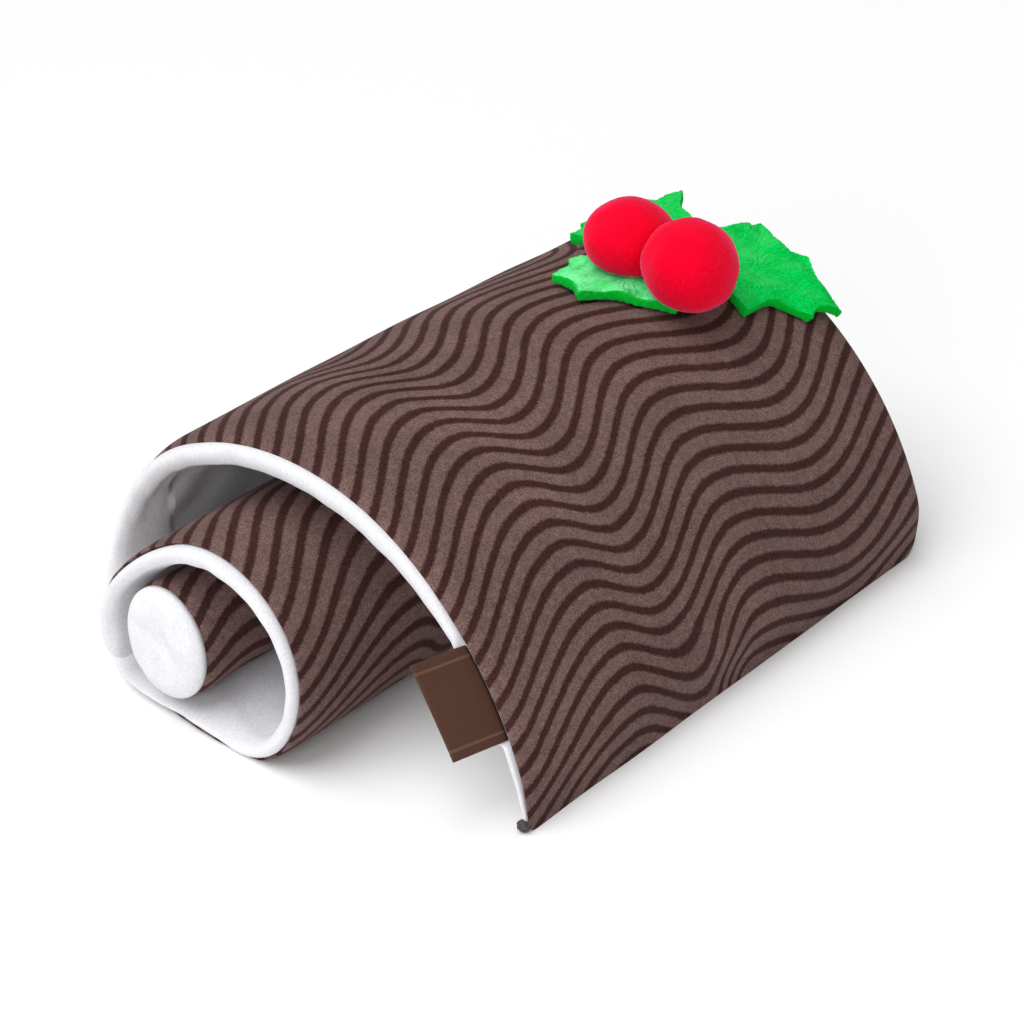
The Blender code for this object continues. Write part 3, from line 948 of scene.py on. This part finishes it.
# the front leaf's copy has a paler top colour and the full painted highlight; the others keep a
# little of it
GREEN_FELT = green_felt("green_felt", (0.0008, 0.78, 0.14), 0.16)
GREEN_FELT_PAINTED_HIGHLIGHT = green_felt("green_felt_painted_highlight", (0.05, 0.86, 0.20), 1.0)
print("felts:", GREEN_FELT.name, GREEN_FELT_PAINTED_HIGHLIGHT.name)

# %% Leaf outlines
# (x, s, lift of the underside, hollow to the next tip), in mm; the middle comes first
LEAVES = {
    "leaf_front": (
        (152, 134, 0.6, 0),
        (151, 155, 1.8, 2.6), (137.5, 151.5, 1.4, 2.2), (132, 137.5, 1.0, 2.2),
        (145, 123.5, 0.6, 0.3), (152.5, 114, 0.7, 1.6), (168, 113, 0.3, 1.0),
        (172, 132, 0.3, 1.0), (166, 151, 0.6, 1.6),
    ),
    "leaf_right": (
        (192, 111, 1.4, 0),
        (182, 133, 0.8, 0.5), (197, 133, 3.4, 1.6), (214, 124.5, 7.0, 4.2),
        (213, 105.5, 5.8, 1.8), (210, 86, 2.2, 3.4), (196.5, 89.5, 0.4, 5.4),
        (174, 101.5, 0.4, 1.0), (176.5, 117, 0.3, 0.5),
    ),
    "leaf_back": (
        (192, 156, 1.4, 0),
        (176, 138, 0.3, 0.5), (198, 138.5, 3.4, 3.4), (219, 157.5, 7.0, 3.4),
        (206, 173, 4.0, 3.0), (188, 178, 2.2, 3.0), (172.5, 170.5, 2.0, 2.2),
        (173, 154, 0.6, 0.6),
    ),
}
LEAF_THICKNESS = 3.5 * MM
LEAF_CLEARANCE = 0.3 * MM
LEAF_WAVER = 0.45 * MM
LEAF_WAVER_SIZE = 13 * MM
SCALLOP_POINTS = 39
TIP_ROUNDING = 1             # how many neighbours on each side blunt a tip
LEAF_RINGS = 26
SIDE_RINGS = 6
SIDE_BULGE = 0.35 * MM
FELT_PILE = 1.1 * MM
FELT_DEPTH = 0.28 * MM


def leaf_outline(rows):
    """x, s and lift of the points round a leaf, in metres, with slightly blunt tips."""
    middle, tips = rows[0], rows[1:]
    outline = []
    for i, (x, s, lift, hollow) in enumerate(tips):
        next_x, next_s, next_lift, _ = tips[(i + 1) % len(tips)]
        for step in range(SCALLOP_POINTS + 1):
            t = step / (SCALLOP_POINTS + 1)
            px = x + (next_x - x) * t
            ps = s + (next_s - s) * t
            inward = Vector((middle[0] - px, middle[1] - ps)).normalized()
            inward = inward * (hollow * 4.0 * t * (1.0 - t))
            outline.append((px + inward.x, ps + inward.y, lift + (next_lift - lift) * t))
    outline = np.array(outline) * MM
    window = range(-TIP_ROUNDING, TIP_ROUNDING + 1)
    return sum(np.roll(outline, k, axis=0) for k in window) / len(window)


def leaf_places(rows, seed):
    """Rings from the middle of the top over the edge to the middle of the underside."""
    outline = leaf_outline(rows)
    middle = np.array(rows[0][:3]) * MM
    flat = np.sin(np.linspace(0.02, 1.0, LEAF_RINGS) * math.pi / 2)
    side = np.linspace(math.pi / 2, -math.pi / 2, SIDE_RINGS + 2)[1:-1]
    profile = [(share, 1.0, 0.0) for share in flat]
    profile += [(1.0, math.sin(angle), math.cos(angle)) for angle in side]
    profile += [(share, -1.0, 0.0) for share in flat[::-1]]
    reach = np.linalg.norm(outline[:, :2] - middle[:2], axis=1)
    rings = []
    for share, level, bulge in profile:
        share = share + bulge * SIDE_BULGE / reach
        spread = middle[:2] + (outline[:, :2] - middle[:2]) * share[:, None]
        rise = middle[2] + (outline[:, 2] - middle[2]) * share * share
        waver = LEAF_WAVER * soft_noise(spread[:, 0], spread[:, 1], LEAF_WAVER_SIZE, seed)
        body = (LEAF_THICKNESS + waver) * (0.5 + 0.5 * level)
        rings.append(sheet_place(spread[:, 0], spread[:, 1], LEAF_CLEARANCE + rise + body))
    return np.array(rings)


# %% Leaves
for seed, (name, rows_of_leaf) in enumerate(LEAVES.items(), start=51):
    # the front leaf takes the copy with the painted highlight
    felt = GREEN_FELT_PAINTED_HIGHLIGHT if name == "leaf_front" else GREEN_FELT
    leaf = grid_object("felt_" + name, leaf_places(rows_of_leaf, seed), felt)
    roughen(leaf.data, FELT_PILE, FELT_DEPTH)
    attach(leaf, BODY)
    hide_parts(name)

# %% [markdown]
# ## The ribbon label
#
# A short brown ribbon is folded double and caught in the seam at the flap's
# edge.  It is left without any words or picture, with two thin woven lines as
# such ribbons have.  A closed grid gives it real thickness and a folded edge.

# %% Ribbon
LABEL_REACH = 17 * MM
LABEL_LEAN = 4.4 * MM
LABEL_HALF = 0.35 * MM
LABEL_DEPTH = 2.0 * MM
LABEL_CURL = 0.9 * MM
LABEL_COLUMNS = 20
LABEL_BROWN = (0.075, 0.030, 0.020)
LABEL_WORN = (0.11, 0.055, 0.035)
LABEL_THREAD = (0.13, 0.070, 0.045)
BORDER_PLACE = 0.10          # shares of the label's length
BORDER_HALF = 0.014
WARP_THREADS = 420.0
WEFT_THREADS = 240.0


def ribbon_material():
    """A plain weave with a paler line near either end."""
    nodes = Nodes("label_ribbon", 0.55, 0.1, (0.8, 0.7, 0.6))
    uv = nodes.tree.nodes.new("ShaderNodeUVMap")
    uv.uv_map = "print"
    parts = nodes.tree.nodes.new("ShaderNodeSeparateXYZ")
    nodes.tree.links.new(uv.outputs["UV"], parts.inputs["Vector"])
    across, along_label = parts.outputs["X"], parts.outputs["Y"]
    from_edge = nodes.math("MINIMUM", along_label, nodes.math("SUBTRACT", 1.0, along_label))
    from_border = nodes.math("ABSOLUTE", nodes.math("SUBTRACT", from_edge, BORDER_PLACE))
    border = nodes.math("LESS_THAN", from_border, BORDER_HALF)
    warp = nodes.math("SINE", nodes.math("MULTIPLY", along_label, WARP_THREADS))
    weft = nodes.math("SINE", nodes.math("MULTIPLY", across, WEFT_THREADS))
    weave = nodes.math("MULTIPLY", warp, weft)
    colour = nodes.mix(border, LABEL_BROWN, LABEL_THREAD)
    worn = nodes.mix(nodes.ramp(weave, -1.0, 1.0, 0.0, 0.25), colour, LABEL_WORN)
    nodes.put(nodes.shader.inputs["Base Color"], worn)
    nodes.put(nodes.shader.inputs["Normal"], nodes.bump(weave, 0.5, 0.08 * MM))
    return nodes.material


# out over one side, round the fold and back over the other
reach = np.linspace(-1.5 * MM, LABEL_REACH, LABEL_COLUMNS)
reach = np.concatenate([reach, [LABEL_REACH + 0.25 * MM]])
loop_reach = np.concatenate([reach, reach[-2::-1]])[None, :]
one_side = np.full(LABEL_COLUMNS, 1.0)
side = np.concatenate([one_side, [0.0], -one_side])[None, :]
label_rows = np.linspace(LABEL_LOW, LABEL_HIGH, 25)[:, None]
seam = sheet_place(0.0, label_rows, -LABEL_DEPTH)
curl = LABEL_CURL * np.sin(math.pi * (label_rows - LABEL_LOW) / (LABEL_HIGH - LABEL_LOW))
bow = (loop_reach / LABEL_REACH) ** 2
places = np.stack([
    seam[..., 0] - loop_reach,
    seam[..., 1] + LABEL_LEAN * loop_reach / LABEL_REACH - side * LABEL_HALF + curl * bow,
    seam[..., 2] + side * LABEL_HALF * 0.5 + 0 * loop_reach,
], axis=-1)
uv = np.stack(np.broadcast_arrays(
    loop_reach / LABEL_REACH, (label_rows - LABEL_LOW) / (LABEL_HIGH - LABEL_LOW)), axis=-1)
label = grid_object("ribbon_label", places, ribbon_material(), uv)
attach(label, BODY)
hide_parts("label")

# %% [markdown]
# ## The sewn corner
#
# Where the seam ends at the ground, the white rim's corner lies in shade.  A small
# ball in grey-brown painted shade stands in for it.  It is only a few millimetres
# across, so a dented ball does for it.

# %% Corner ball in painted shade
SHADE_BALL_RADIUS = 1.9 * MM
SHADE_BALL_LUMPS = 0.30
SHADE_BALL_LUMP_SIZE = 1.6 * MM
SHADE_BALL_RAISE = Vector((0.0, 0.0, 0.9 * MM))
# painted shade: the grey-brown stands for the white rim's corner lying in shade
SHADE_BALL_PAINTED_SHADE = (0.125, 0.105, 0.098)
SHADE_BALL_PAINTED_SHADE_DEEP = (0.05, 0.04, 0.038)
corner_painted_shade = plain_plush(
    "corner_painted_shade", SHADE_BALL_PAINTED_SHADE, SHADE_BALL_PAINTED_SHADE_DEEP, 0.2, (0.8, 0.8, 0.8),
    0.4 * MM, 1.5 * MM, 0.2 * MM)[0].material
shade_ball_middle = Vector(sheet_place(-0.6 * MM, 1.5 * MM, -1.6 * MM)) + SHADE_BALL_RAISE
shade_ball_shape = bmesh.new()
bmesh.ops.create_icosphere(shade_ball_shape, subdivisions=5, radius=SHADE_BALL_RADIUS)
for vert in shade_ball_shape.verts:
    lump = noise.fractal(vert.co / SHADE_BALL_LUMP_SIZE, 0.8, 2.0, 3)
    vert.co = vert.co * (1.0 + SHADE_BALL_LUMPS * lump) + shade_ball_middle
    vert.co.z = max(vert.co.z, 0.1 * MM)
shade_ball_mesh = bpy.data.meshes.new("corner_shade_ball")
shade_ball_shape.to_mesh(shade_ball_mesh)
shade_ball_shape.free()
shade_ball_mesh.shade_smooth()
shade_ball_mesh.materials.append(corner_painted_shade)
shade_ball = bpy.data.objects.new("corner_shade_ball", shade_ball_mesh)
bpy.context.collection.objects.link(shade_ball)
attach(shade_ball, BODY)
print("tuft at, mm:", [round(v / MM, 1) for v in shade_ball_middle])
